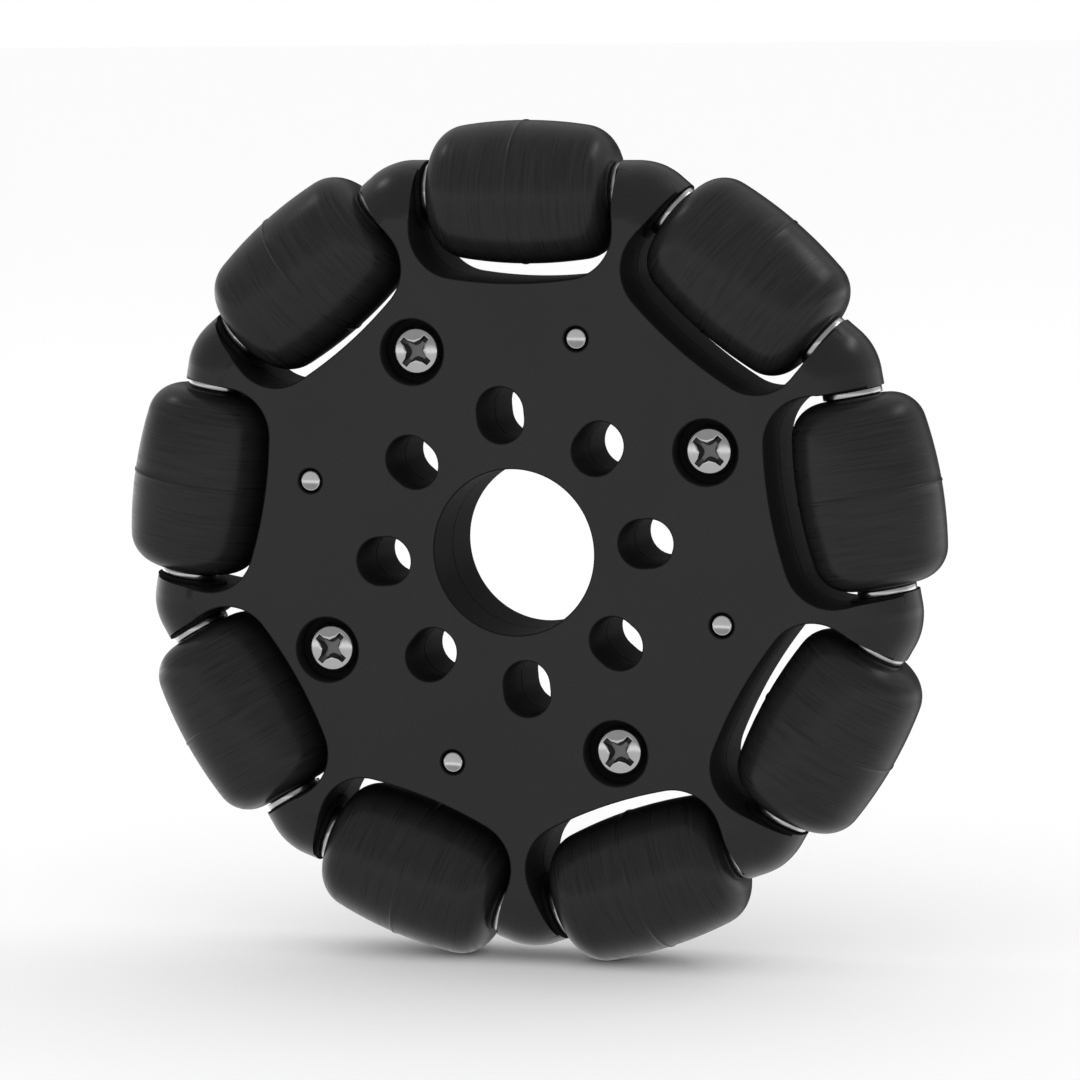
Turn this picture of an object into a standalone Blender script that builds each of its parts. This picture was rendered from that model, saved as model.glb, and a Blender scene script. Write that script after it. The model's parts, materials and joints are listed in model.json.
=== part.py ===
"""Omni wheel with nine barrel rollers on tangential axles, held between two bolted shells.

The wheel spins about the world's Y axis, its front face looks along -Y and its centre is
the origin. Every piece hangs from the empty "wheel", whose own Z axis is the spin axis and
points out of the front face, so the pieces are laid out flat in that empty's X and Y.
"""
from math import atan2, cos, pi, radians, sin, sqrt, tau

import bmesh
import bpy
from mathutils import Matrix

MM = 0.001

# The wheel: nine rollers, the first one at the top, whose crowns lie on one circle.
ROLLER_COUNT = 9
FIRST_ROLLER_ANGLE = radians(90)
ROLLER_PITCH = tau / ROLLER_COUNT
CROWN_RADIUS = 35.95 * MM
AXLE_CIRCLE_RADIUS = 29.93 * MM

# The two shells: halves of a plate with a full round nose, and arms between the rollers.
PLATE_THICKNESS = 9.8 * MM
PARTING_GAP = 0.1 * MM
SHELL_TURN_ANGLE = radians(50)
FLAT_DISTANCE = 32.6 * MM
ARM_TIP_RADIUS = 5.5 * MM
BORE_RADIUS = 7.0 * MM

# Eight screw slots round the bore, each a short radial obround.
SLOT_COUNT = 8
FIRST_SLOT_ANGLE = radians(5)
SLOT_CENTRE_RADIUS = 11.57 * MM
SLOT_WIDTH = 4.04 * MM
SLOT_LENGTH = 4.72 * MM

# The pockets that the rollers turn in, open at the rim and at both faces.
POCKET_HALF_WIDTH = 8.8 * MM
POCKET_FLOOR_RADIUS = 22.6 * MM
POCKET_CORNER_RADIUS = 4.0 * MM
PAD_RADIUS = 3.2 * MM
PAD_HEIGHT = 0.2 * MM

# The rollers: a hard core, a rubber tread round it, a washer at each end and a steel axle.
TREAD_LENGTH = 15.8 * MM
TREAD_CORNER_RADIUS = 2.9 * MM
CORE_LENGTH = 16.0 * MM
CORE_RADIUS = 2.3 * MM
CORE_BORE_RADIUS = 1.08 * MM
WASHER_RADIUS = 2.5 * MM
WASHER_BORE_RADIUS = 1.1 * MM
WASHER_THICKNESS = 0.5 * MM
AXLE_RADIUS = 1.0 * MM
AXLE_LENGTH = 20.0 * MM
AXLE_CHAMFER = 0.2 * MM
FIT_GAP = 0.05 * MM

# The shell screws: four from each face, whose tips end flush with the opposite face.
SCREWS_PER_FACE = 4
SCREW_CIRCLE_RADIUS = 18.87 * MM
FIRST_FRONT_SCREW_ANGLE = radians(27.5)
FIRST_REAR_SCREW_ANGLE = radians(72.5)
COUNTERBORE_RADIUS = 2.75 * MM
COUNTERBORE_DEPTH = 1.9 * MM
SCREW_HEAD_RADIUS = 2.08 * MM
SCREW_HEAD_HEIGHT = 1.15 * MM
SCREW_HEAD_RIM = 0.45 * MM
SCREW_SHANK_RADIUS = 0.95 * MM
SCREW_TIP_RADIUS = 0.8 * MM
SCREW_HOLE_RADIUS = 1.06 * MM
CROSS_RECESS_SPAN = 3.0 * MM
CROSS_RECESS_WIDTH = 0.5 * MM
CROSS_RECESS_DEPTH = 0.65 * MM
CROSS_RECESS_ANGLE = radians(50)

# How finely the round shapes are divided.
BORE_SEGMENTS = 40
TREAD_SEGMENTS = 16
SMALL_SEGMENTS = 12
COUNTERBORE_SEGMENTS = 20
NOSE_RESOLUTION = 2
SHARP_EDGE_ANGLE = radians(35)
WELD_DISTANCE = 0.0005 * MM

# How far a cutter runs past the surface that it opens.
OVERRUN = 1.0 * MM


def clear_scene():
    for obj in list(bpy.data.objects):
        bpy.data.objects.remove(obj, do_unlink=True)


def new_collection(name):
    collection = bpy.data.collections.new(name)
    bpy.context.scene.collection.children.link(collection)
    return collection


def new_material(name, colour, roughness, metallic):
    material = bpy.data.materials.new(name)
    material.use_nodes = True
    shader = material.node_tree.nodes["Principled BSDF"]
    shader.inputs["Base Color"].default_value = (*colour, 1.0)
    shader.inputs["Roughness"].default_value = roughness
    shader.inputs["Metallic"].default_value = metallic
    return material


def add_object(name, data, collection, parent=None, location=(0, 0, 0), rotation=(0, 0, 0)):
    obj = bpy.data.objects.new(name, data)
    collection.objects.link(obj)
    obj.parent = parent
    obj.location = location
    obj.rotation_euler = rotation
    return obj


def polar(radius, angle):
    return radius * cos(angle), radius * sin(angle)


def arc(centre, radius, start, end, steps):
    """Points along an arc, both ends included."""
    angles = [start + (end - start) * step / steps for step in range(steps + 1)]
    return [(centre[0] + radius * cos(angle), centre[1] + radius * sin(angle)) for angle in angles]


def clean_mesh(mesh):
    """Weld loose caps and turn every face outwards."""
    bm = bmesh.new()
    bm.from_mesh(mesh)
    bmesh.ops.remove_doubles(bm, verts=bm.verts, dist=WELD_DISTANCE)
    bmesh.ops.recalc_face_normals(bm, faces=bm.faces)
    bm.to_mesh(mesh)
    bm.free()


def evaluated_mesh(obj):
    """The object's mesh after its modifiers or bevels; the object itself is removed."""
    graph = bpy.context.evaluated_depsgraph_get()
    mesh = bpy.data.meshes.new_from_object(obj.evaluated_get(graph))
    mesh.name = obj.name
    bpy.data.objects.remove(obj, do_unlink=True)
    clean_mesh(mesh)
    return mesh


def outline_mesh(name, points, half_thickness, nose_radius=0.0):
    """A filled flat outline as a mesh, with an optional round nose added all round it."""
    curve = bpy.data.curves.new(name, "CURVE")
    curve.dimensions = "2D"
    curve.fill_mode = "BOTH"
    curve.extrude = half_thickness
    curve.bevel_depth = nose_radius
    curve.bevel_resolution = NOSE_RESOLUTION
    spline = curve.splines.new("POLY")
    spline.points.add(len(points) - 1)
    for spline_point, (x, y) in zip(spline.points, points):
        spline_point.co = (x, y, 0.0, 1.0)
    spline.use_cyclic_u = True
    return evaluated_mesh(add_object(name, curve, bpy.context.scene.collection))


def cylinder_mesh(name, radius, depth, segments):
    mesh = bpy.data.meshes.new(name)
    bm = bmesh.new()
    bmesh.ops.create_cone(
        bm, cap_ends=True, segments=segments, radius1=radius, radius2=radius, depth=depth
    )
    bm.to_mesh(mesh)
    bm.free()
    return mesh


def profile_mesh(name, points, closed):
    """Edges through (radius, height) points, ready for a Screw modifier about Z."""
    mesh = bpy.data.meshes.new(name)
    vertices = [(radius, 0.0, height) for radius, height in points]
    edges = [(index, index + 1) for index in range(len(points) - 1)]
    if closed:
        edges.append((len(points) - 1, 0))
    mesh.from_pydata(vertices, edges, [])
    return mesh


def turn_profile(obj, segments):
    screw = obj.modifiers.new("turned", "SCREW")
    screw.axis = "Z"
    screw.angle = tau
    screw.steps = segments
    screw.render_steps = segments
    screw.use_merge_vertices = True
    screw.merge_threshold = WELD_DISTANCE
    screw.use_smooth_shade = True


def shade_round(mesh):
    mesh.shade_smooth()
    mesh.set_sharp_from_angle(angle=SHARP_EDGE_ANGLE)


def roller_angles():
    """Number and angle of each roller, from the top one round."""
    return [(index + 1, FIRST_ROLLER_ANGLE + index * ROLLER_PITCH) for index in range(ROLLER_COUNT)]


def plate_outline():
    """The edge of the flat face: a nonagon with its corners at the arms, inside the nose."""
    centre_distance = (FLAT_DISTANCE - ARM_TIP_RADIUS) / cos(ROLLER_PITCH / 2)
    corner_radius = ARM_TIP_RADIUS - PLATE_THICKNESS / 2
    half_turn = ROLLER_PITCH / 2
    points = []
    for _, roller_angle in roller_angles():
        angle = roller_angle + half_turn
        centre = polar(centre_distance, angle)
        points += arc(centre, corner_radius, angle - half_turn, angle + half_turn, 4)
    return points


def pocket_outline():
    """A pocket for a roller at +Y: straight sides, round corners and a bowed floor.

    The floor follows the inner side of the roller, so its arc is centred on the wheel's
    centre mirrored in the axle.
    """
    arc_centre = (0.0, 2 * AXLE_CIRCLE_RADIUS)
    arc_radius = arc_centre[1] - POCKET_FLOOR_RADIUS
    corner_x = POCKET_HALF_WIDTH - POCKET_CORNER_RADIUS
    corner_y = arc_centre[1] - sqrt((arc_radius - POCKET_CORNER_RADIUS) ** 2 - corner_x**2)
    join = atan2(corner_y - arc_centre[1], corner_x)
    points = arc((corner_x, corner_y), POCKET_CORNER_RADIUS, 0.0, join, 6)
    points += arc(arc_centre, arc_radius, join, -pi - join, 4)[1:]
    points += arc((-corner_x, corner_y), POCKET_CORNER_RADIUS, -pi - join, -pi, 6)[1:]
    rim = CROWN_RADIUS + OVERRUN
    points += [(-POCKET_HALF_WIDTH, rim), (POCKET_HALF_WIDTH, rim)]
    return points


def pocket_mesh():
    """The pocket's cutter, hollowed where the pads round the axle stay standing."""
    pads = bmesh.new()
    depth = PAD_HEIGHT + OVERRUN
    for side in (-1, 1):
        offset = side * (POCKET_HALF_WIDTH - PAD_HEIGHT + depth / 2)
        place = Matrix.Translation((offset, AXLE_CIRCLE_RADIUS, 0.0)) @ Matrix.Rotation(pi / 2, 4, "Y")
        bmesh.ops.create_cone(
            pads, cap_ends=True, segments=COUNTERBORE_SEGMENTS,
            radius1=PAD_RADIUS, radius2=PAD_RADIUS, depth=depth, matrix=place,
        )
    pads_mesh = bpy.data.meshes.new("pads")
    pads.to_mesh(pads_mesh)
    pads.free()
    scene_objects = bpy.context.scene.collection
    pads_object = add_object("pads", pads_mesh, scene_objects)
    prism = outline_mesh("pocket", pocket_outline(), PLATE_THICKNESS / 2 + OVERRUN)
    pocket = add_object("pocket", prism, scene_objects)
    cut = pocket.modifiers.new("pads", "BOOLEAN")
    cut.operation = "DIFFERENCE"
    cut.object = pads_object
    mesh = evaluated_mesh(pocket)
    bpy.data.objects.remove(pads_object, do_unlink=True)
    return mesh


def slot_outline():
    """A screw slot, longer along X than it is wide."""
    radius = SLOT_WIDTH / 2
    reach = SLOT_LENGTH / 2 - radius
    right = arc((reach, 0.0), radius, -pi / 2, pi / 2, 6)
    left = arc((-reach, 0.0), radius, pi / 2, 3 * pi / 2, 6)
    return right + left


def screw_places():
    """Name, angle and side of each screw; side 1 is the front face and -1 the rear."""
    for face, side, first in (("front", 1, FIRST_FRONT_SCREW_ANGLE), ("rear", -1, FIRST_REAR_SCREW_ANGLE)):
        for index in range(SCREWS_PER_FACE):
            yield f"{face}_screw_{index + 1}", first + index * tau / SCREWS_PER_FACE, side


def add_cutter(name, mesh, collection, parent, location=(0, 0, 0), rotation=(0, 0, 0)):
    cutter = add_object(name, mesh, collection, parent, location, rotation)
    cutter.hide_render = True
    cutter.display_type = "WIRE"
    return cutter


def make_round_cutters(collection, wheel):
    """The bore, the slots round it, and the screws' holes and counterbores."""
    through = PLATE_THICKNESS + 2 * OVERRUN
    bore = cylinder_mesh("bore", BORE_RADIUS, through, BORE_SEGMENTS)
    add_cutter("cut_bore", bore, collection, wheel)
    slot = outline_mesh("slot", slot_outline(), through / 2)
    for index in range(SLOT_COUNT):
        angle = FIRST_SLOT_ANGLE + index * tau / SLOT_COUNT
        place = (*polar(SLOT_CENTRE_RADIUS, angle), 0.0)
        add_cutter(f"cut_slot_{index + 1}", slot, collection, wheel, place, (0, 0, angle))
    hole = cylinder_mesh("screw_hole", SCREW_HOLE_RADIUS, through, SMALL_SEGMENTS)
    depth = COUNTERBORE_DEPTH + OVERRUN
    counterbore = cylinder_mesh("counterbore", COUNTERBORE_RADIUS, depth, COUNTERBORE_SEGMENTS)
    height = PLATE_THICKNESS / 2 + OVERRUN - depth / 2
    for name, angle, side in screw_places():
        x, y = polar(SCREW_CIRCLE_RADIUS, angle)
        add_cutter(f"cut_hole_{name}", hole, collection, wheel, (x, y, 0.0))
        if side > 0:
            add_cutter(f"cut_seat_{name}", counterbore, collection, wheel, (x, y, height))


def make_roller_cutters(collection, wheel):
    """Each roller's pocket, and the groove that holds its axle between the shells."""
    pocket = pocket_mesh()
    groove = cylinder_mesh("groove", AXLE_RADIUS + FIT_GAP, AXLE_LENGTH + 2 * FIT_GAP, SMALL_SEGMENTS)
    for number, angle in roller_angles():
        add_cutter(f"cut_pocket_{number}", pocket, collection, wheel, rotation=(0, 0, angle - pi / 2))
        add_cutter(f"cut_groove_{number}", groove, collection, bpy.data.objects[f"roller_{number}_axis"])


def front_half_plate():
    """The plate's front half as a blank, a little short of the middle plane."""
    plate = outline_mesh("plate", plate_outline(), 0.0, PLATE_THICKNESS / 2)
    bm = bmesh.new()
    bm.from_mesh(plate)
    geometry = bm.verts[:] + bm.edges[:] + bm.faces[:]
    middle = (0.0, 0.0, PARTING_GAP / 2)
    bmesh.ops.bisect_plane(
        bm, geom=geometry, dist=WELD_DISTANCE, plane_co=middle, plane_no=(0, 0, 1), clear_inner=True
    )
    bmesh.ops.edgeloop_fill(bm, edges=[edge for edge in bm.edges if edge.is_boundary])
    bmesh.ops.recalc_face_normals(bm, faces=bm.faces)
    bm.to_mesh(plate)
    bm.free()
    return plate


def make_shells(parts, cutters, wheel, material):
    """Two shells from one moulding: the rear one is the front one turned over."""
    blank = add_object("shell", front_half_plate(), parts, wheel)
    cut = blank.modifiers.new("openings", "BOOLEAN")
    cut.operation = "DIFFERENCE"
    cut.operand_type = "COLLECTION"
    cut.collection = cutters
    mesh = evaluated_mesh(blank)
    mesh.materials.append(material)
    shade_round(mesh)
    add_object("front_shell", mesh, parts, wheel)
    add_object("rear_shell", mesh, parts, wheel, rotation=(pi, 0, 2 * SHELL_TURN_ANGLE))


def screw_profile():
    """A pan-head screw with its seat at height 0, its domed head above and its shank below."""
    length = PLATE_THICKNESS - COUNTERBORE_DEPTH - 2 * FIT_GAP
    chamfer = SCREW_SHANK_RADIUS - SCREW_TIP_RADIUS
    dome = SCREW_HEAD_HEIGHT - SCREW_HEAD_RIM
    head = [
        (SCREW_HEAD_RADIUS * sin(turn), SCREW_HEAD_RIM + dome * cos(turn))
        for turn in (0.0, radians(32), radians(62), radians(90))
    ]
    return head + [
        (SCREW_HEAD_RADIUS, 0.0),
        (SCREW_SHANK_RADIUS, 0.0),
        (SCREW_SHANK_RADIUS, chamfer - length),
        (SCREW_TIP_RADIUS, -length),
        (0.0, -length),
    ]


def cross_recess_mesh():
    """Two crossed bars that cut the driver's recess into a screw head."""
    bm = bmesh.new()
    top = SCREW_HEAD_HEIGHT + OVERRUN
    bottom = SCREW_HEAD_HEIGHT - CROSS_RECESS_DEPTH
    size = Matrix.Diagonal((CROSS_RECESS_SPAN, CROSS_RECESS_WIDTH, top - bottom, 1.0))
    bmesh.ops.create_cube(bm, size=1.0, matrix=Matrix.Translation((0, 0, (top + bottom) / 2)) @ size)
    first = bpy.data.meshes.new("recess_bar")
    bm.to_mesh(first)
    bm.free()
    scene_objects = bpy.context.scene.collection
    bar = add_object("recess_bar", first, scene_objects)
    crossing = add_object("recess_crossing", first, scene_objects, rotation=(0, 0, pi / 2))
    join = bar.modifiers.new("crossed", "BOOLEAN")
    join.operation = "UNION"
    join.object = crossing
    mesh = evaluated_mesh(bar)
    bpy.data.objects.remove(crossing, do_unlink=True)
    return mesh


def make_screws(parts, cutters, wheel, material):
    profile = profile_mesh("screw", screw_profile(), closed=False)
    profile.materials.append(material)
    recess = cross_recess_mesh()
    seat = PLATE_THICKNESS / 2 - COUNTERBORE_DEPTH + FIT_GAP
    for name, angle, side in screw_places():
        place = (*polar(SCREW_CIRCLE_RADIUS, angle), side * seat)
        flip = 0.0 if side > 0 else pi
        screw = add_object(name, profile, parts, wheel, place, (flip, 0, 0))
        turn_profile(screw, SMALL_SEGMENTS)
        driver = add_cutter(f"cut_driver_{name}", recess, cutters, screw, rotation=(0, 0, CROSS_RECESS_ANGLE))
        cut = screw.modifiers.new("cross_recess", "BOOLEAN")
        cut.operation = "DIFFERENCE"
        cut.object = driver


def tread_profile():
    """The rubber's section: a crown on the wheel's own circle, round corners, a straight bore."""
    half = TREAD_LENGTH / 2
    corner_height = half - TREAD_CORNER_RADIUS
    corner_reach = CROWN_RADIUS - TREAD_CORNER_RADIUS
    corner_radial = sqrt(corner_reach**2 - corner_height**2)
    join = atan2(corner_height, corner_radial)
    corner = (corner_radial - AXLE_CIRCLE_RADIUS, corner_height)
    crown = arc((-AXLE_CIRCLE_RADIUS, 0.0), CROWN_RADIUS, join, -join, 4)
    upper = arc(corner, TREAD_CORNER_RADIUS, pi / 2, join, 3)
    lower = [(radius, -height) for radius, height in reversed(upper)]
    bore = CORE_RADIUS + FIT_GAP
    return upper + crown[1:-1] + lower + [(bore, -half), (bore, half)]


def ring_profile(outer, inner, height):
    return [(outer, height / 2), (outer, -height / 2), (inner, -height / 2), (inner, height / 2)]


def axle_profile():
    half = AXLE_LENGTH / 2
    return [
        (0.0, half),
        (AXLE_RADIUS - AXLE_CHAMFER, half),
        (AXLE_RADIUS, half - AXLE_CHAMFER),
        (AXLE_RADIUS, AXLE_CHAMFER - half),
        (AXLE_RADIUS - AXLE_CHAMFER, -half),
        (0.0, -half),
    ]


def make_rollers(parts, rubber, plastic, steel):
    core_ring = ring_profile(CORE_RADIUS, CORE_BORE_RADIUS, CORE_LENGTH)
    washer_ring = ring_profile(WASHER_RADIUS, WASHER_BORE_RADIUS, WASHER_THICKNESS)
    washer_offset = CORE_LENGTH / 2 + FIT_GAP + WASHER_THICKNESS / 2
    pieces = (
        ("tread", tread_profile(), True, rubber, TREAD_SEGMENTS, 0.0),
        ("core", core_ring, True, plastic, SMALL_SEGMENTS, 0.0),
        ("axle", axle_profile(), False, steel, SMALL_SEGMENTS, 0.0),
        ("washer_a", washer_ring, True, steel, SMALL_SEGMENTS, washer_offset),
        ("washer_b", washer_ring, True, steel, SMALL_SEGMENTS, -washer_offset),
    )
    for piece, points, closed, material, segments, offset in pieces:
        profile = profile_mesh(piece, points, closed)
        profile.materials.append(material)
        for number, _ in roller_angles():
            axis = bpy.data.objects[f"roller_{number}_axis"]
            turned = add_object(f"roller_{number}_{piece}", profile, parts, axis, (0, 0, offset))
            turn_profile(turned, segments)


def make_roller_axes(collection, wheel):
    """An empty for each roller, on its axle, with Z along the axle and X pointing outwards."""
    for number, angle in roller_angles():
        place = (*polar(AXLE_CIRCLE_RADIUS, angle), 0.0)
        add_object(f"roller_{number}_axis", None, collection, wheel, place, (-pi / 2, 0, angle))


def main():
    clear_scene()
    parts = new_collection("omni_wheel")
    cutters = new_collection("shell_cutters")
    recess_cutters = new_collection("recess_cutters")
    shell_plastic = new_material("shell_plastic", (0.030, 0.030, 0.031), 0.55, 0.0)
    core_plastic = new_material("core_plastic", (0.020, 0.020, 0.021), 0.5, 0.0)
    rubber = new_material("tread_rubber", (0.028, 0.028, 0.030), 0.6, 0.0)
    steel = new_material("steel", (0.72, 0.71, 0.69), 0.3, 1.0)

    wheel = add_object("wheel", None, parts, rotation=(pi / 2, 0, 0))
    make_roller_axes(parts, wheel)
    make_round_cutters(cutters, wheel)
    make_roller_cutters(cutters, wheel)
    make_shells(parts, cutters, wheel, shell_plastic)
    make_screws(parts, recess_cutters, wheel, steel)
    make_rollers(parts, rubber, core_plastic, steel)
    bpy.context.view_layer.update()


main()
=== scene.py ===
"""Looks of a 72 mm omni wheel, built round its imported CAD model.

The wheel stands upright with its spin axis along Y and its front face towards -Y. In the
wheel's own flat frame, used for the shells and the screws, X is the world's X, Y is the
world's Z and Z points out of the front face. A roller's own frame has Z along its axle.
Lengths are in metres.
"""
import json
from math import asin, atan2, cos, pi, radians, sin, sqrt, tau

import bmesh
import bpy
from mathutils import Matrix, Vector

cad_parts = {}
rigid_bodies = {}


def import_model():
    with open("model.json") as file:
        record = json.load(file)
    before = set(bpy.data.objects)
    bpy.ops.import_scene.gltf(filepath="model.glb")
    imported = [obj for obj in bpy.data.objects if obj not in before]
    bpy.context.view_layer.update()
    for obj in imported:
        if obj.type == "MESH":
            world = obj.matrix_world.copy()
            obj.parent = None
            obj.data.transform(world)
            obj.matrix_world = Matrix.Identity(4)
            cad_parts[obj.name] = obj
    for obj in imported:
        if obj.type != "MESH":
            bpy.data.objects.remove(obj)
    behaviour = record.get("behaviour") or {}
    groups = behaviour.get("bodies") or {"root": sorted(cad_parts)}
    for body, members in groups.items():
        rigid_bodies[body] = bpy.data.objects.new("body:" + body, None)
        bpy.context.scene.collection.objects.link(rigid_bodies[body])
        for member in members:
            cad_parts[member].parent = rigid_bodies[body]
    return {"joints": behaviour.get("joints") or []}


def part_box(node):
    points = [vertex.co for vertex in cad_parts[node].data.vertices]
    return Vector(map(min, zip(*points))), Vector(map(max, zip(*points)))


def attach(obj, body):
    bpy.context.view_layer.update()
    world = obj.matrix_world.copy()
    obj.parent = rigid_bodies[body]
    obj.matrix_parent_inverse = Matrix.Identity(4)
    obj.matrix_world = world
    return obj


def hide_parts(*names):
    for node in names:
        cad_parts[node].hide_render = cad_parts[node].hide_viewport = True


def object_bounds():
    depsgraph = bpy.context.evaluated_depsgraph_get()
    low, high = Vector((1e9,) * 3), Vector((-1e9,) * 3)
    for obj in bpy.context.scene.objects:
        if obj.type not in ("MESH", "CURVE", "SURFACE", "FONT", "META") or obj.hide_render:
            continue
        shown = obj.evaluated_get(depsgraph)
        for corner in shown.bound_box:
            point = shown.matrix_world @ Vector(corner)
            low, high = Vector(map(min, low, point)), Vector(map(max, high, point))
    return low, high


MM = 0.001

# Sizes of the wheel that its CAD model has too.
ROLLER_PITCH = radians(40)
CROWN_RADIUS = 35.95 * MM
FLAT_DISTANCE = 32.6 * MM
ARM_TIP_RADIUS = 5.5 * MM
BORE_RADIUS = 7.0 * MM
SLOT_COUNT = 8
FIRST_SLOT_ANGLE = radians(5)
SLOT_CENTRE_RADIUS = 11.57 * MM
SLOT_WIDTH = 4.04 * MM
SLOT_LENGTH = 4.72 * MM
POCKET_HALF_WIDTH = 8.8 * MM
POCKET_FLOOR_RADIUS = 22.6 * MM
POCKET_CORNER_RADIUS = 4.0 * MM
PAD_RADIUS = 3.2 * MM
PAD_HEIGHT = 0.2 * MM
TREAD_LENGTH = 15.8 * MM
TREAD_CORNER_RADIUS = 2.9 * MM
CORE_RADIUS = 2.3 * MM
CORE_BORE_RADIUS = 1.08 * MM
AXLE_RADIUS = 1.0 * MM
WASHER_RADIUS = 2.5 * MM
WASHER_BORE_RADIUS = 1.1 * MM
SCREW_CIRCLE_RADIUS = 18.87 * MM
FIRST_FRONT_SCREW_ANGLE = radians(27.5)
FIRST_REAR_SCREW_ANGLE = radians(72.5)
SCREWS_PER_FACE = 4
COUNTERBORE_RADIUS = 2.75 * MM
COUNTERBORE_DEPTH = 1.9 * MM
SCREW_HOLE_RADIUS = 1.04 * MM
SCREW_HEAD_RADIUS = 2.08 * MM
SCREW_HEAD_HEIGHT = 1.15 * MM
SCREW_SHANK_RADIUS = 0.95 * MM
SCREW_TIP_RADIUS = 0.84 * MM

# Fine form that only the looks have.
SEAM_HALF_GAP = 0.02 * MM
SEAM_ROUND = 0.06 * MM
EDGE_ROUND = 0.12 * MM
FINE_ROUND = 0.06 * MM
RIDGE_HEIGHT = 0.07 * MM
RIDGE_HALF_WIDTH = 0.11 * MM
SCREW_DOME_RADIUS = 7.7 * MM
SCREW_HEAD_ROUND = 0.4 * MM
TIP_DIMPLE = 0.1 * MM
TIP_ROUND = 0.1 * MM
TIP_SHORT_OF_FACE = 0.05 * MM
AXLE_CHAMFER = 0.2 * MM
CORE_ROUND = 0.1 * MM
TREAD_BORE_GAP = 0.01 * MM
CROSS_REACH = 1.54 * MM
CROSS_END_WIDTH = 0.5 * MM
CROSS_NECK_REACH = 1.05 * MM
CROSS_NECK_WIDTH = 0.56 * MM
CROSS_CORNER = 0.52 * MM
CROSS_DEPTH = 0.7 * MM
CROSS_FLOOR_SHARE = 0.6
CROSS_ROUND = 0.05 * MM
CROSS_ANGLE = radians(50)
OVERRUN = 1.0 * MM
WELD_DISTANCE = 0.0002 * MM

# How finely the round shapes are divided.
ROUND_STEPS = 3
BIG_SEGMENTS = 128
TREAD_SEGMENTS = 96
SMALL_SEGMENTS = 48
CROSS_SIDE_STEPS = 8
DOME_STEPS = 5
SHARP_EDGE_ANGLE = radians(35)
FLAT_ANGLE = radians(0.2)
MADE_AT = "made_at"

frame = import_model()
CAD_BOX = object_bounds()
PLATE_HALF = -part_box("front_shell")[0].y

# The front shell turned over about this line through the wheel's centre is the rear shell.
SHELL_TURN_ANGLE = radians(50)
SHELL_FLIP_LINE = Vector((cos(SHELL_TURN_ANGLE), 0.0, sin(SHELL_TURN_ANGLE)))
WHEEL_FRAME = Matrix.Rotation(pi / 2, 4, "X")
TURN_OVER = Matrix.Rotation(pi, 4, SHELL_FLIP_LINE)


# ---------------------------------------------------------------- camera, light and stage

CAMERA_PLACE = Vector((124.96, -393.66, 49.88)) * MM
CAMERA_AIM = Vector((0.79, 0.0, 0.50)) * MM
CAMERA_ROLL = radians(-0.763)
CAMERA_LENS = 163.77

# What gloss sees of the room, as (part of the direction, level): from down to up, and from
# the front to the back, where a dark card hangs straight behind the wheel.
ROOM_BY_HEIGHT = ((-1.0, 0.54), (-0.13, 0.54), (-0.11, 0.93), (-0.05, 0.93), (0.07, 0.30))
ROOM_BY_DEPTH = ((-1.0, 1.0), (0.0, 1.0), (0.4, 1.7), (0.86, 1.7), (0.93, 0.2))
LIGHT_DISTANCE = 0.7
FLOOR_REACH = 4.0
FLOOR_GREY = 0.97


def make_camera():
    data = bpy.data.cameras.new("camera")
    data.sensor_width = 36.0
    data.lens = CAMERA_LENS
    data.clip_start = 0.01
    camera = bpy.data.objects.new("camera", data)
    bpy.context.scene.collection.objects.link(camera)
    look = (CAMERA_AIM - CAMERA_PLACE).to_track_quat("-Z", "Y").to_matrix().to_4x4()
    camera.matrix_world = Matrix.Translation(CAMERA_PLACE) @ look @ Matrix.Rotation(CAMERA_ROLL, 4, "Z")
    bpy.context.scene.camera = camera


def direction_ramp(nodes, links, part, stops):
    """A grey level that follows one part of a direction, which runs from -1 to 1."""
    spread = nodes.new("ShaderNodeMapRange")
    spread.inputs["From Min"].default_value = -1.0
    links.new(part, spread.inputs["Value"])
    ramp = nodes.new("ShaderNodeValToRGB")
    links.new(spread.outputs["Result"], ramp.inputs["Fac"])
    elements = ramp.color_ramp.elements
    elements.remove(elements[1])
    for index, (direction, level) in enumerate(stops):
        stop = elements[0] if index == 0 else elements.new(1.0)
        stop.position = (direction + 1.0) / 2
        stop.color = (level, level, level, 1.0)
    return ramp.outputs["Color"]


def make_world():
    """White paper all round; gloss sees a dim room with a bright horizon and a card behind."""
    world = bpy.data.worlds.new("studio")
    bpy.context.scene.world = world
    world.use_nodes = True
    nodes = world.node_tree.nodes
    links = world.node_tree.links
    paper = nodes["Background"]
    paper.inputs["Color"].default_value = (1.0, 1.0, 1.0, 1.0)
    coordinates = nodes.new("ShaderNodeTexCoord")
    split = nodes.new("ShaderNodeSeparateXYZ")
    links.new(coordinates.outputs["Generated"], split.inputs[0])
    product = nodes.new("ShaderNodeVectorMath")
    product.operation = "MULTIPLY"
    links.new(direction_ramp(nodes, links, split.outputs["Z"], ROOM_BY_HEIGHT), product.inputs[0])
    links.new(direction_ramp(nodes, links, split.outputs["Y"], ROOM_BY_DEPTH), product.inputs[1])
    room = nodes.new("ShaderNodeBackground")
    links.new(product.outputs[0], room.inputs["Color"])
    choice = nodes.new("ShaderNodeMixShader")
    links.new(nodes.new("ShaderNodeLightPath").outputs["Is Glossy Ray"], choice.inputs[0])
    links.new(paper.outputs[0], choice.inputs[1])
    links.new(room.outputs[0], choice.inputs[2])
    links.new(choice.outputs[0], nodes["World Output"].inputs["Surface"])


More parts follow.
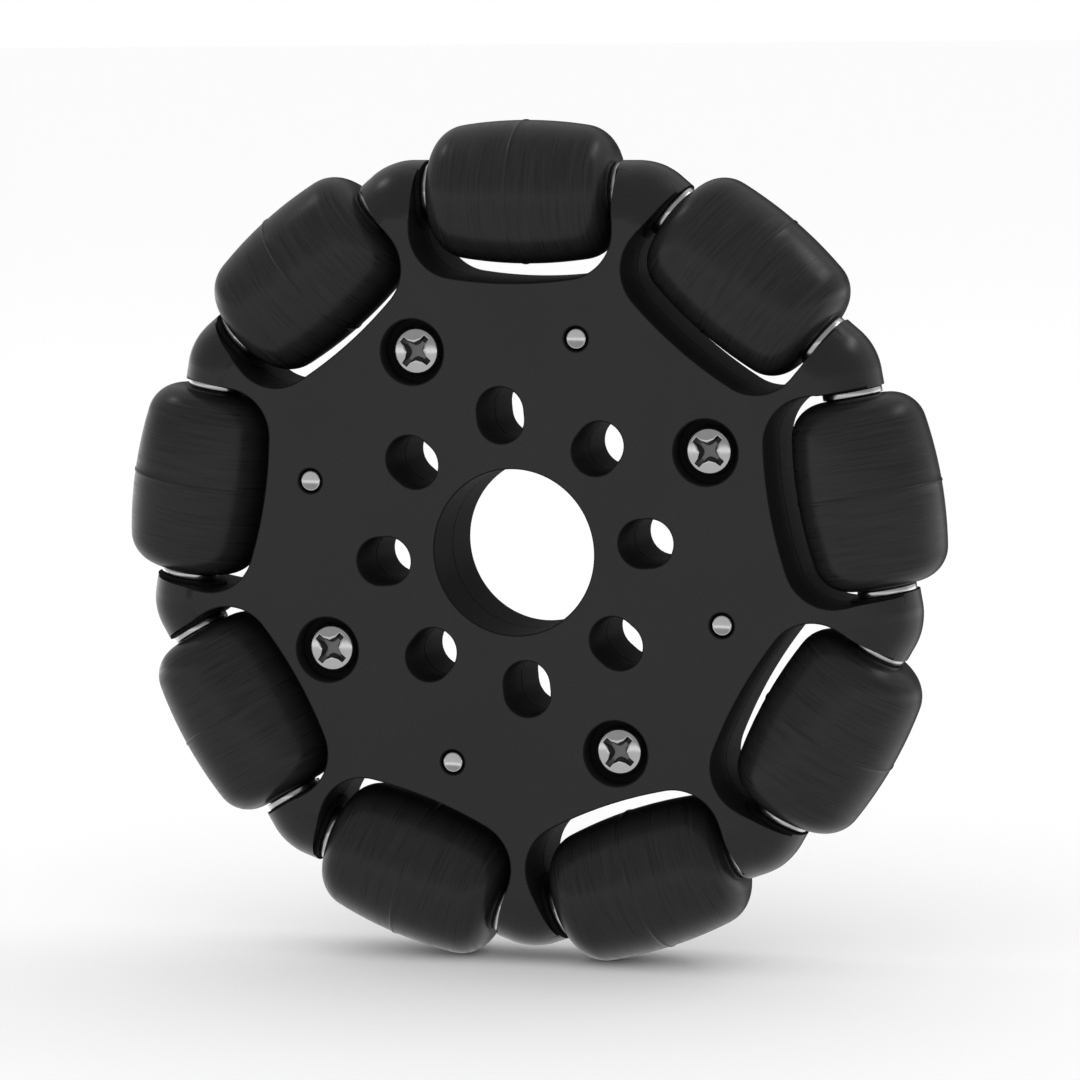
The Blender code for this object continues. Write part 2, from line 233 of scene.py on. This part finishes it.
def add_area_light(name, direction, size, radiance):
    """A softbox that faces the wheel from a direction in degrees: round from the front, and up."""
    turn, rise = (radians(angle) for angle in direction)
    place = Vector((sin(turn) * cos(rise), -cos(turn) * cos(rise), sin(rise))) * LIGHT_DISTANCE
    data = bpy.data.lights.new(name, "AREA")
    data.shape = "RECTANGLE"
    data.size, data.size_y = size
    data.energy = radiance * pi * size[0] * size[1]
    light = bpy.data.objects.new(name, data)
    bpy.context.scene.collection.objects.link(light)
    aim = (-place).to_track_quat("-Z", "Y").to_matrix().to_4x4()
    light.matrix_world = Matrix.Translation(place) @ aim


def make_floor():
    mesh = bpy.data.meshes.new("floor")
    bm = bmesh.new()
    bmesh.ops.create_grid(bm, x_segments=1, y_segments=1, size=FLOOR_REACH)
    bm.to_mesh(mesh)
    bm.free()
    floor = bpy.data.objects.new("floor", mesh)
    bpy.context.scene.collection.objects.link(floor)
    floor.location.z = CAD_BOX[0].z
    floor.visible_glossy = False
    material = bpy.data.materials.new("floor_paper")
    material.use_nodes = True
    shader = material.node_tree.nodes["Principled BSDF"]
    shader.inputs["Base Color"].default_value = (FLOOR_GREY, FLOOR_GREY, FLOOR_GREY, 1.0)
    shader.inputs["Roughness"].default_value = 1.0
    shader.inputs["Specular IOR Level"].default_value = 0.0
    mesh.materials.append(material)


# ---------------------------------------------------------------- materials


class Finish:
    """A procedural material whose patterns are laid out in the piece's own millimetres."""

    def __init__(self, name, roughness, metallic=0.0, specular=0.5):
        self.material = bpy.data.materials.new(name)
        self.material.use_nodes = True
        self.nodes = self.material.node_tree.nodes
        self.links = self.material.node_tree.links
        self.shader = self.nodes["Principled BSDF"]
        self.shader.inputs["Metallic"].default_value = metallic
        self.shader.inputs["Roughness"].default_value = roughness
        self.shader.inputs["Specular IOR Level"].default_value = specular
        made_at = self.nodes.new("ShaderNodeAttribute")
        made_at.attribute_name = MADE_AT
        self.place = made_at.outputs["Vector"]
        self.bump = None

    def stretched(self, per_mm):
        """Where a point was made, scaled to so many units for each millimetre along X, Y, Z."""
        mapping = self.nodes.new("ShaderNodeMapping")
        mapping.inputs["Scale"].default_value = [value / MM for value in per_mm]
        self.links.new(self.place, mapping.inputs["Vector"])
        return mapping.outputs["Vector"]

    def rings(self, per_mm):
        """Coordinates that only change with the distance from the Z axis and, slowly, along it."""
        split = self.nodes.new("ShaderNodeSeparateXYZ")
        self.links.new(self.stretched((per_mm, per_mm, per_mm)), split.inputs[0])
        flat = self.nodes.new("ShaderNodeCombineXYZ")
        self.links.new(split.outputs["X"], flat.inputs["X"])
        self.links.new(split.outputs["Y"], flat.inputs["Y"])
        length = self.nodes.new("ShaderNodeVectorMath")
        length.operation = "LENGTH"
        self.links.new(flat.outputs[0], length.inputs[0])
        joined = self.nodes.new("ShaderNodeCombineXYZ")
        self.links.new(length.outputs["Value"], joined.inputs["X"])
        self.links.new(split.outputs["Z"], joined.inputs["Y"])
        return joined.outputs[0]

    def noise(self, vector, detail):
        noise = self.nodes.new("ShaderNodeTexNoise")
        noise.inputs["Scale"].default_value = 1.0
        noise.inputs["Detail"].default_value = detail
        self.links.new(vector, noise.inputs["Vector"])
        return noise.outputs["Fac"]

    def ranged(self, value, low, high):
        """A noise value, which stays near the middle of 0 to 1, spread from low to high."""
        spread = self.nodes.new("ShaderNodeMapRange")
        spread.inputs["From Min"].default_value = 0.3
        spread.inputs["From Max"].default_value = 0.7
        spread.inputs["To Min"].default_value = low
        spread.inputs["To Max"].default_value = high
        self.links.new(value, spread.inputs["Value"])
        return spread.outputs["Result"]

    def colour(self, value, dark, light):
        ramp = self.nodes.new("ShaderNodeValToRGB")
        ramp.color_ramp.elements[0].position = 0.3
        ramp.color_ramp.elements[0].color = (*dark, 1.0)
        ramp.color_ramp.elements[1].position = 0.7
        ramp.color_ramp.elements[1].color = (*light, 1.0)
        self.links.new(value, ramp.inputs["Fac"])
        self.links.new(ramp.outputs["Color"], self.shader.inputs["Base Color"])

    def roughness(self, value, low, high):
        self.links.new(self.ranged(value, low, high), self.shader.inputs["Roughness"])

    def add_bump(self, value, height, strength):
        """Relief of the given height in metres; a second call adds to the first."""
        bump = self.nodes.new("ShaderNodeBump")
        bump.inputs["Distance"].default_value = height
        bump.inputs["Strength"].default_value = strength
        self.links.new(value, bump.inputs["Height"])
        if self.bump is not None:
            self.links.new(self.bump.outputs["Normal"], bump.inputs["Normal"])
        self.bump = bump
        self.links.new(bump.outputs["Normal"], self.shader.inputs["Normal"])


def shell_plastic():
    """Black moulded plastic, half glossy, with an even fine grain and faint clouding."""
    finish = Finish("shell_plastic", 0.27, specular=0.4)
    clouds = finish.noise(finish.stretched((0.12, 0.12, 0.12)), detail=4.0)
    grain = finish.noise(finish.stretched((9.0, 9.0, 9.0)), detail=3.0)
    finish.colour(clouds, (0.0112, 0.0112, 0.0114), (0.0128, 0.0128, 0.0130))
    finish.roughness(grain, 0.24, 0.31)
    finish.add_bump(grain, 0.003 * MM, 0.4)
    return finish.material


def shaded_cavity_plastic():
    """The same plastic, duller, in the openings and the screw seats; its darker colour is painted shade
    for the shade that falls there.
    """
    finish = Finish("shaded_cavity_plastic", 0.5, specular=0.05)
    grain = finish.noise(finish.stretched((5.0, 5.0, 5.0)), detail=4.0)
    # painted shade: a darker base colour than shell_plastic's, for the shade inside the openings and
    # seats
    finish.colour(grain, (0.0080, 0.0080, 0.0082), (0.0100, 0.0100, 0.0102))
    finish.roughness(grain, 0.45, 0.58)
    finish.add_bump(grain, 0.006 * MM, 0.5)
    return finish.material


def tread_rubber():
    """Black rubber with faint rings round the roller from its mould."""
    finish = Finish("tread_rubber", 0.32, specular=0.3)
    rings = finish.noise(finish.stretched((0.2, 0.2, 5.0)), detail=2.0)
    grain = finish.noise(finish.stretched((7.0, 7.0, 7.0)), detail=2.0)
    finish.colour(rings, (0.0115, 0.0115, 0.0118), (0.0200, 0.0200, 0.0203))
    finish.roughness(rings, 0.26, 0.38)
    finish.add_bump(grain, 0.003 * MM, 0.3)
    finish.add_bump(rings, 0.008 * MM, 0.6)
    return finish.material


def core_plastic():
    finish = Finish("core_plastic", 0.4, specular=0.4)
    grain = finish.noise(finish.stretched((6.0, 6.0, 6.0)), detail=3.0)
    finish.colour(grain, (0.008, 0.008, 0.0085), (0.011, 0.011, 0.0115))
    finish.roughness(grain, 0.35, 0.5)
    finish.add_bump(grain, 0.004 * MM, 0.4)
    return finish.material


def steel(name, grey, low, high):
    """Plated steel of a grey level with faint turning rings, between two roughnesses."""
    finish = Finish(name, high, metallic=1.0)
    rings = finish.noise(finish.rings(14.0), detail=3.0)
    clouds = finish.noise(finish.stretched((1.1, 1.1, 1.1)), detail=2.0)
    finish.colour(clouds, [grey * 0.95] * 3, [grey * 1.03] * 3)
    finish.roughness(rings, low, high)
    return finish.material


# ---------------------------------------------------------------- mesh tools


def polar(radius, angle):
    return radius * cos(angle), radius * sin(angle)


def arc(centre, radius, start, end, steps):
    """Points along an arc, both ends included."""
    angles = [start + (end - start) * step / steps for step in range(steps + 1)]
    return [(centre[0] + radius * cos(angle), centre[1] + radius * sin(angle)) for angle in angles]


def add_object(name, mesh, matrix=Matrix.Identity(4)):
    obj = bpy.data.objects.new(name, mesh)
    bpy.context.scene.collection.objects.link(obj)
    obj.matrix_world = matrix
    return obj


def placed_mesh(mesh, matrix):
    """A copy with its placement in its points, so its box is tight; MADE_AT keeps the old points."""
    placed = mesh.copy()
    made_at = placed.attributes.new(MADE_AT, "FLOAT_VECTOR", "POINT")
    for point, vertex in zip(made_at.data, placed.vertices):
        point.vector = vertex.co
    placed.transform(matrix)
    return placed


def finished_mesh(name, bm, materials=()):
    bmesh.ops.remove_doubles(bm, verts=bm.verts, dist=WELD_DISTANCE)
    bmesh.ops.recalc_face_normals(bm, faces=bm.faces)
    mesh = bpy.data.meshes.new(name)
    for material in materials:
        mesh.materials.append(material)
    bm.to_mesh(mesh)
    bm.free()
    mesh.shade_smooth()
    mesh.set_sharp_from_angle(angle=SHARP_EDGE_ANGLE)
    return mesh


def join_rings(bm, rings, closed_loft):
    """Faces between rings of equal length, each ring closed on itself."""
    pairs = list(zip(rings, rings[1:]))
    if closed_loft:
        pairs.append((rings[-1], rings[0]))
    for lower, upper in pairs:
        for index in range(len(lower)):
            after = (index + 1) % len(lower)
            bm.faces.new((lower[index], lower[after], upper[after], upper[index]))


def turned_mesh(name, profile, segments, closed):
    """A turned shape from (radius, height) points; an open profile begins and ends on the axis."""
    bm = bmesh.new()
    rings = []
    for radius, height in profile:
        places = [polar(max(radius, 0.0), tau * step / segments) for step in range(segments)]
        rings.append([bm.verts.new((x, y, height)) for x, y in places])
    join_rings(bm, rings, closed)
    return finished_mesh(name, bm)


def lofted_mesh(name, outline, sections):
    """A closed solid through (growth, height) sections; outline(growth) gives its points."""
    bm = bmesh.new()
    rings = [[bm.verts.new((x, y, height)) for x, y in outline(growth)] for growth, height in sections]
    join_rings(bm, rings, closed_loft=False)
    bm.faces.new(rings[0])
    bm.faces.new(rings[-1])
    return finished_mesh(name, bm)


def rounded_profile(points, radius, steps=ROUND_STEPS):
    """A closed right-angled section, running clockwise, with its corners rounded."""
    rounded = []
    for index, point in enumerate(points):
        here = Vector(point)
        before = (Vector(points[index - 1]) - here).normalized() * radius
        after = (Vector(points[(index + 1) % len(points)]) - here).normalized() * radius
        centre = here + before + after
        start = atan2(-after.y, -after.x)
        rounded += arc(centre, radius, start, start - pi / 2, steps)
    return rounded


def evaluated_mesh(obj):
    """The object's mesh after its modifiers; the object itself is removed."""
    graph = bpy.context.evaluated_depsgraph_get()
    mesh = bpy.data.meshes.new_from_object(obj.evaluated_get(graph))
    mesh.name = obj.name
    bpy.data.objects.remove(obj, do_unlink=True)
    return mesh


def cut_mesh(mesh, cutters, materials=()):
    """The mesh less all the cutters, each a (mesh, matrix) pair, which leave the last material."""
    for material in materials:
        mesh.materials.append(material)
    for cutter_mesh in {cutter_mesh for cutter_mesh, _ in cutters}:
        for material in materials:
            cutter_mesh.materials.append(material)
        for polygon in cutter_mesh.polygons:
            polygon.material_index = max(0, len(materials) - 1)
    group = bpy.data.collections.new("cutters")
    bpy.context.scene.collection.children.link(group)
    for cutter_mesh, matrix in cutters:
        cutter = bpy.data.objects.new("cutter", cutter_mesh)
        group.objects.link(cutter)
        cutter.matrix_world = matrix
    blank = add_object(mesh.name, mesh)
    cut = blank.modifiers.new("cut", "BOOLEAN")
    cut.operation = "DIFFERENCE"
    cut.operand_type = "COLLECTION"
    cut.collection = group
    result = evaluated_mesh(blank)
    for cutter in list(group.objects):
        bpy.data.objects.remove(cutter, do_unlink=True)
    bpy.data.collections.remove(group)
    bm = bmesh.new()
    bm.from_mesh(result)
    return finished_mesh(mesh.name, bm, materials)


def even_normals(obj):
    """Large flat faces keep their own direction, so small rounds beside them shade cleanly."""
    weighted = obj.modifiers.new("even_normals", "WEIGHTED_NORMAL")
    weighted.keep_sharp = True
    weighted.thresh = 0.0


# ---------------------------------------------------------------- shells


def plate_outline(steps=10):
    """The edge of the flat face: a nonagon with its corners at the arms, inside the nose."""
    half_pitch = ROLLER_PITCH / 2
    centre_distance = (FLAT_DISTANCE - ARM_TIP_RADIUS) / cos(half_pitch)
    points = []
    for index in range(round(tau / ROLLER_PITCH)):
        angle = pi / 2 + ROLLER_PITCH * (index + 0.5)
        centre = polar(centre_distance, angle)
        points += arc(centre, ARM_TIP_RADIUS - PLATE_HALF, angle - half_pitch, angle + half_pitch, steps)
    return points


def half_plate_mesh():
    """The front half of the plate, its nose a quarter round from the flat face to the seam."""
    curve = bpy.data.curves.new("plate", "CURVE")
    curve.dimensions = "2D"
    curve.fill_mode = "BOTH"
    curve.bevel_depth = PLATE_HALF
    curve.bevel_resolution = 10
    points = plate_outline()
    spline = curve.splines.new("POLY")
    spline.points.add(len(points) - 1)
    for spline_point, (x, y) in zip(spline.points, points):
        spline_point.co = (x, y, 0.0, 1.0)
    spline.use_cyclic_u = True
    bm = bmesh.new()
    bm.from_mesh(evaluated_mesh(add_object("plate", curve)))
    bmesh.ops.remove_doubles(bm, verts=bm.verts, dist=WELD_DISTANCE)
    geometry = bm.verts[:] + bm.edges[:] + bm.faces[:]
    seam = (0.0, 0.0, SEAM_HALF_GAP)
    bmesh.ops.bisect_plane(
        bm, geom=geometry, dist=WELD_DISTANCE, plane_co=seam, plane_no=(0, 0, 1), clear_inner=True
    )
    bmesh.ops.edgeloop_fill(bm, edges=[edge for edge in bm.edges if edge.is_boundary])
    bmesh.ops.dissolve_limit(bm, angle_limit=FLAT_ANGLE, verts=bm.verts, edges=bm.edges)
    return finished_mesh("half_plate", bm)


def through_sections():
    """Sections of a cutter through the front half that rounds the edges at its seam and face."""
    sections = [(SEAM_ROUND, -OVERRUN), (SEAM_ROUND, SEAM_HALF_GAP)]
    sections += [(0.0, SEAM_HALF_GAP + SEAM_ROUND)]
    for step in range(ROUND_STEPS + 1):
        turn = step / ROUND_STEPS * pi / 2
        sections.append((EDGE_ROUND * (1 - cos(turn)), PLATE_HALF - EDGE_ROUND * (1 - sin(turn))))
    return sections + [(EDGE_ROUND, PLATE_HALF + OVERRUN)]


def face_sections(floor):
    """Sections of a cutter that stops at the given height, with its mouth rounded."""
    return [(0.0, floor)] + through_sections()[3:]


def circle_outline(radius, segments=SMALL_SEGMENTS):
    return lambda growth: arc((0.0, 0.0), radius + growth, 0.0, tau - tau / segments, segments - 1)


def slot_outline(growth):
    radius = SLOT_WIDTH / 2
    reach = SLOT_LENGTH / 2 - radius
    right = arc((reach, 0.0), radius + growth, -pi / 2, pi / 2, 20)
    return right + arc((-reach, 0.0), radius + growth, pi / 2, 3 * pi / 2, 20)


def pocket_outline(growth):
    """A pocket for a roller at +Y: straight sides, round corners and a bowed floor."""
    axle_circle = roller_axes()[0][0].length
    arc_centre = (0.0, 2 * axle_circle)
    arc_radius = arc_centre[1] - POCKET_FLOOR_RADIUS
    corner_x = POCKET_HALF_WIDTH - POCKET_CORNER_RADIUS
    corner_y = arc_centre[1] - sqrt((arc_radius - POCKET_CORNER_RADIUS) ** 2 - corner_x**2)
    join = atan2(corner_y - arc_centre[1], corner_x)
    corner = POCKET_CORNER_RADIUS + growth
    points = arc((corner_x, corner_y), corner, 0.0, join, 20)
    points += arc(arc_centre, arc_radius + growth, join, -pi - join, 16)[1:-1]
    points += arc((-corner_x, corner_y), corner, -pi - join, -pi, 20)
    rim = CROWN_RADIUS + OVERRUN
    side = POCKET_HALF_WIDTH + growth
    return points + [(-side, rim), (side, rim)]


def pocket_cutter():
    """The pocket less the low round pads that stand on its side walls round the axle."""
    axle_circle = roller_axes()[0][0].length
    depth = PAD_HEIGHT + OVERRUN
    sections = [(0.0, -depth / 2), (0.0, depth / 2 - FINE_ROUND), (-FINE_ROUND, depth / 2)]
    pad = lofted_mesh("pad", circle_outline(PAD_RADIUS, 64), sections)
    pads = []
    for side in (-1, 1):
        across = side * (POCKET_HALF_WIDTH - PAD_HEIGHT + depth / 2)
        place = Matrix.Translation((across, axle_circle, 0.0))
        pads.append((pad, place @ Matrix.Rotation(-side * pi / 2, 4, "Y")))
    return cut_mesh(lofted_mesh("pocket", pocket_outline, through_sections()), pads)


def shell_cutters():
    """Everything that is cut out of the front half plate."""
    bore = lofted_mesh("bore", circle_outline(BORE_RADIUS, BIG_SEGMENTS), through_sections())
    cutters = [(bore, Matrix.Identity(4))]
    slot = lofted_mesh("slot", slot_outline, through_sections())
    for index in range(SLOT_COUNT):
        turn = Matrix.Rotation(FIRST_SLOT_ANGLE + index * tau / SLOT_COUNT, 4, "Z")
        cutters.append((slot, turn @ Matrix.Translation((SLOT_CENTRE_RADIUS, 0.0, 0.0))))
    pocket = pocket_cutter()
    groove_end = [(0.0, AXLE_HALF), (AXLE_RADIUS, AXLE_HALF)]
    groove_profile = groove_end + [(radius, -height) for radius, height in reversed(groove_end)]
    groove = turned_mesh("groove", groove_profile, SMALL_SEGMENTS, closed=False)
    for centre, axis in roller_axes():
        angle = atan2(centre.z, centre.x)
        cutters.append((pocket, Matrix.Rotation(angle - pi / 2, 4, "Z")))
        cutters.append((groove, WHEEL_FRAME.inverted() @ roller_frame(centre, axis)))
    hole = lofted_mesh("screw_hole", circle_outline(SCREW_HOLE_RADIUS), through_sections())
    seat = PLATE_HALF - COUNTERBORE_DEPTH
    counterbore = lofted_mesh("counterbore", circle_outline(COUNTERBORE_RADIUS, 96), face_sections(seat))
    for first, mesh in (
        (FIRST_FRONT_SCREW_ANGLE, hole),
        (FIRST_FRONT_SCREW_ANGLE, counterbore),
        (FIRST_REAR_SCREW_ANGLE, hole),
    ):
        for index in range(SCREWS_PER_FACE):
            x, y = polar(SCREW_CIRCLE_RADIUS, first + index * tau / SCREWS_PER_FACE)
            cutters.append((mesh, Matrix.Translation((x, y, 0.0))))
    return cutters


def make_shells():
    # the cut faces take the second material, whose darker colour is painted shade in the openings and
    # seats
    mesh = cut_mesh(half_plate_mesh(), shell_cutters(), (shell_plastic(), shaded_cavity_plastic()))
    for name, turn in (("front_shell", Matrix.Identity(4)), ("rear_shell", TURN_OVER)):
        shell = add_object(f"{name}_fine", placed_mesh(mesh, turn @ WHEEL_FRAME))
        even_normals(shell)
        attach(shell, "hub")
        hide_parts(name)


# ---------------------------------------------------------------- screws


def cross_outline(growth):
    """The mouth of the driver's recess: four arms with pointed corners between, grown all round."""
    tip = CROSS_END_WIDTH / 2
    neck = CROSS_NECK_WIDTH / 2
    quarter = [
        (CROSS_REACH, -tip),
        (CROSS_REACH, tip),
        (CROSS_NECK_REACH, neck),
        (CROSS_CORNER, CROSS_CORNER),
        (neck, CROSS_NECK_REACH),
    ]
    corners = []
    for index in range(4):
        turn = Matrix.Rotation(CROSS_ANGLE + index * pi / 2, 2)
        corners += [turn @ Vector(point) for point in quarter]
    grown = []
    for index, corner in enumerate(corners):
        before = (corner - corners[index - 1]).normalized()
        after = (corners[(index + 1) % len(corners)] - corner).normalized()
        outwards = Vector((before.y + after.y, -before.x - after.x)) / (1 + before.dot(after))
        grown.append(corner + outwards * growth)
    points = []
    for start, end in zip(grown, grown[1:] + grown[:1]):
        points += [start.lerp(end, step / CROSS_SIDE_STEPS) for step in range(CROSS_SIDE_STEPS)]
    return points


def dome_height(radius):
    return SCREW_HEAD_HEIGHT - radius**2 / (2 * SCREW_DOME_RADIUS)


def recess_rings():
    """The recess from its floor up to the mouth's rounded edge, which lies on the dome."""
    floor = SCREW_HEAD_HEIGHT - CROSS_DEPTH
    rings = [[(*point * CROSS_FLOOR_SHARE, floor) for point in cross_outline(0.0)]]
    for growth, drop in ((0.0, 1.0), (0.3, 0.3), (1.0, 0.0)):
        outline = cross_outline(growth * CROSS_ROUND)
        rings.append([(*point, dome_height(point.length) - drop * CROSS_ROUND) for point in outline])
    return rings


def screw_profile():
    """The turned part of a screw from the dome's edge down to the cupped tip, seat at height 0."""
    length = 2 * PLATE_HALF - COUNTERBORE_DEPTH - TIP_SHORT_OF_FACE
    centre = SCREW_HEAD_RADIUS - SCREW_HEAD_ROUND
    tilt = asin(centre / SCREW_DOME_RADIUS)
    edge = centre + SCREW_HEAD_ROUND * sin(tilt)
    middle = (centre, dome_height(edge) - SCREW_HEAD_ROUND * cos(tilt))
    head = arc(middle, SCREW_HEAD_ROUND, pi / 2 - tilt, 0.0, 6)
    chamfer = SCREW_SHANK_RADIUS - SCREW_TIP_RADIUS
    shank = [
        (SCREW_HEAD_RADIUS, FINE_ROUND),
        (SCREW_HEAD_RADIUS - FINE_ROUND, 0.0),
        (SCREW_SHANK_RADIUS, 0.0),
        (SCREW_SHANK_RADIUS, chamfer + TIP_ROUND - length),
        (SCREW_TIP_RADIUS, TIP_ROUND - length),
        (SCREW_TIP_RADIUS - TIP_ROUND * 0.3, TIP_ROUND * 0.3 - length),
    ]
    cup = [
        (share * (SCREW_TIP_RADIUS - TIP_ROUND), TIP_DIMPLE * (1 - share**2) - length)
        for share in (step / 8 for step in range(8, -1, -1))
    ]
    return head + shank + cup


def screw_mesh():
    """A screw whose rings of points run from the recess's floor over the head to the tip."""
    rings = recess_rings()
    mouth = [Vector(point[:2]) for point in rings[-1]]
    profile = screw_profile()
    for step in range(1, DOME_STEPS):
        radii = [point.length + (profile[0][0] - point.length) * step / DOME_STEPS for point in mouth]
        grown = zip(mouth, radii)
        rings.append([(*point.normalized() * radius, dome_height(radius)) for point, radius in grown])
    for radius, height in profile:
        rings.append([(*point.normalized() * radius, height) for point in mouth])
    bm = bmesh.new()
    rings = [[bm.verts.new(point) for point in ring] for ring in rings]
    bm.faces.new(rings[0])
    join_rings(bm, rings[:2], closed_loft=False)
    # the recess's floor and lower walls take the second material, a dark steel that is painted shade
    for face in bm.faces:
        face.material_index = 1
    join_rings(bm, rings[1:], closed_loft=False)
    # the second steel is the same steel painted far darker: painted shade inside the driver's recess
    materials = (steel("screw_steel", 0.74, 0.10, 0.16), steel("shaded_recess_steel", 0.22, 0.3, 0.45))
    return finished_mesh("screw", bm, materials)


def make_screws():
    mesh = screw_mesh()
    seat = PLATE_HALF - COUNTERBORE_DEPTH + FINE_ROUND / 2
    for index in range(SCREWS_PER_FACE):
        x, y = polar(SCREW_CIRCLE_RADIUS, FIRST_FRONT_SCREW_ANGLE + index * tau / SCREWS_PER_FACE)
        place = WHEEL_FRAME @ Matrix.Translation((x, y, seat))
        front = f"front_screw_{index + 1}"
        turned_over = TURN_OVER @ place
        angle = atan2(turned_over.translation.z, turned_over.translation.x)
        steps = round((angle - FIRST_REAR_SCREW_ANGLE) / (tau / SCREWS_PER_FACE))
        rear = f"rear_screw_{steps % SCREWS_PER_FACE + 1}"
        for name, matrix in ((front, place), (rear, turned_over)):
            screw = add_object(f"{name}_fine", placed_mesh(mesh, matrix))
            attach(screw, "hub")
            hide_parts(name)


# ---------------------------------------------------------------- rollers


def roller_axes():
    """The centre and the axle's direction of each roller, roller 1 first."""
    hinges = sorted(frame["joints"], key=lambda joint: joint["name"])
    return [(Vector(joint["pos_m"]), Vector(joint["axis"])) for joint in hinges]


def roller_frame(centre, axis):
    """World placement with Z along the axle and X pointing out of the wheel."""
    outwards = centre.normalized()
    columns = Matrix((outwards, axis.cross(outwards), axis)).transposed()
    return Matrix.Translation(centre) @ columns.to_4x4()


def tread_profile():
    """The rubber's section: crown on the wheel's own circle, a mould ridge round its middle."""
    axle_circle = roller_axes()[0][0].length
    half = TREAD_LENGTH / 2
    corner_height = half - TREAD_CORNER_RADIUS
    corner_radial = sqrt((CROWN_RADIUS - TREAD_CORNER_RADIUS) ** 2 - corner_height**2)
    join = atan2(corner_height, corner_radial)
    corner = (corner_radial - axle_circle, corner_height)
    upper = arc(corner, TREAD_CORNER_RADIUS, pi / 2, join, 14)
    ridge_angle = RIDGE_HALF_WIDTH / CROWN_RADIUS
    upper += arc((-axle_circle, 0.0), CROWN_RADIUS, join, 2 * ridge_angle, 10)[1:]
    middle = CROWN_RADIUS - axle_circle
    upper += [
        (middle + RIDGE_HEIGHT * share, RIDGE_HALF_WIDTH * reach)
        for share, reach in ((0.25, 1.3), (0.85, 0.8), (1.0, 0.35))
    ]
    lower = [(radius, -height) for radius, height in reversed(upper)]
    bore = CORE_RADIUS + TREAD_BORE_GAP
    inside = [
        (bore + FINE_ROUND, -half),
        (bore, FINE_ROUND - half),
        (bore, half - FINE_ROUND),
        (bore + FINE_ROUND, half),
    ]
    return upper + lower + inside


def ring_mesh(name, outer, inner, length, rounding, segments=64):
    section = [(outer, length / 2), (outer, -length / 2), (inner, -length / 2), (inner, length / 2)]
    return turned_mesh(name, rounded_profile(section, rounding), segments, closed=True)


def axle_mesh():
    end = [
        (0.0, AXLE_HALF),
        (AXLE_RADIUS - AXLE_CHAMFER, AXLE_HALF),
        (AXLE_RADIUS, AXLE_HALF - AXLE_CHAMFER),
    ]
    other = [(radius, -height) for radius, height in reversed(end)]
    return turned_mesh("axle", end + other, SMALL_SEGMENTS, closed=False)


def axle_lengths():
    """Half the lengths of axle and core, and a washer's thickness and offset, from roller 1."""
    washer_low, washer_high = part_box("roller_1_washer_a")
    thickness = washer_high.x - washer_low.x
    offset = abs(washer_high.x + washer_low.x) / 2
    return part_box("roller_1_axle")[1].x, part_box("roller_1_core")[1].x, thickness, offset


def make_rollers():
    tread = turned_mesh("tread", tread_profile(), TREAD_SEGMENTS, closed=True)
    core = ring_mesh("core", CORE_RADIUS, CORE_BORE_RADIUS, 2 * CORE_HALF, CORE_ROUND)
    washer = ring_mesh("washer", WASHER_RADIUS, WASHER_BORE_RADIUS, WASHER_THICKNESS, FINE_ROUND)
    axle = axle_mesh()
    tread.materials.append(tread_rubber())
    core.materials.append(core_plastic())
    washer.materials.append(steel("washer_steel", 0.74, 0.16, 0.26))
    axle.materials.append(steel("axle_steel", 0.74, 0.16, 0.26))
    for index, (centre, axis) in enumerate(roller_axes()):
        place = roller_frame(centre, axis)
        number = index + 1
        pieces = (
            ("tread", tread, 0.0, f"roller_{number}", "tread_rubber"),
            ("core", core, 0.0, f"roller_{number}", "core_plastic"),
            ("axle", axle, 0.0, "hub", "axle_steel"),
            ("washer_a", washer, WASHER_OFFSET, "hub", "washer_steel"),
            ("washer_b", washer, -WASHER_OFFSET, "hub", "washer_steel"),
        )
        for piece, mesh, offset, body, slot in pieces:
            node = f"roller_{number}_{piece}"
            placement = place @ Matrix.Translation((0.0, 0.0, offset))
            obj = add_object(f"{node}_fine", placed_mesh(mesh, placement))
            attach(obj, body)
            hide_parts(node)


AXLE_HALF, CORE_HALF, WASHER_THICKNESS, WASHER_OFFSET = axle_lengths()

bpy.context.scene.view_settings.view_transform = "Standard"
make_camera()
make_world()
add_area_light("softbox_left", (-97, 48), (0.14, 0.12), 3.2)
add_area_light("softbox_right", (116, 45), (0.34, 0.1), 3.2)
make_floor()
make_shells()
make_screws()
make_rollers()
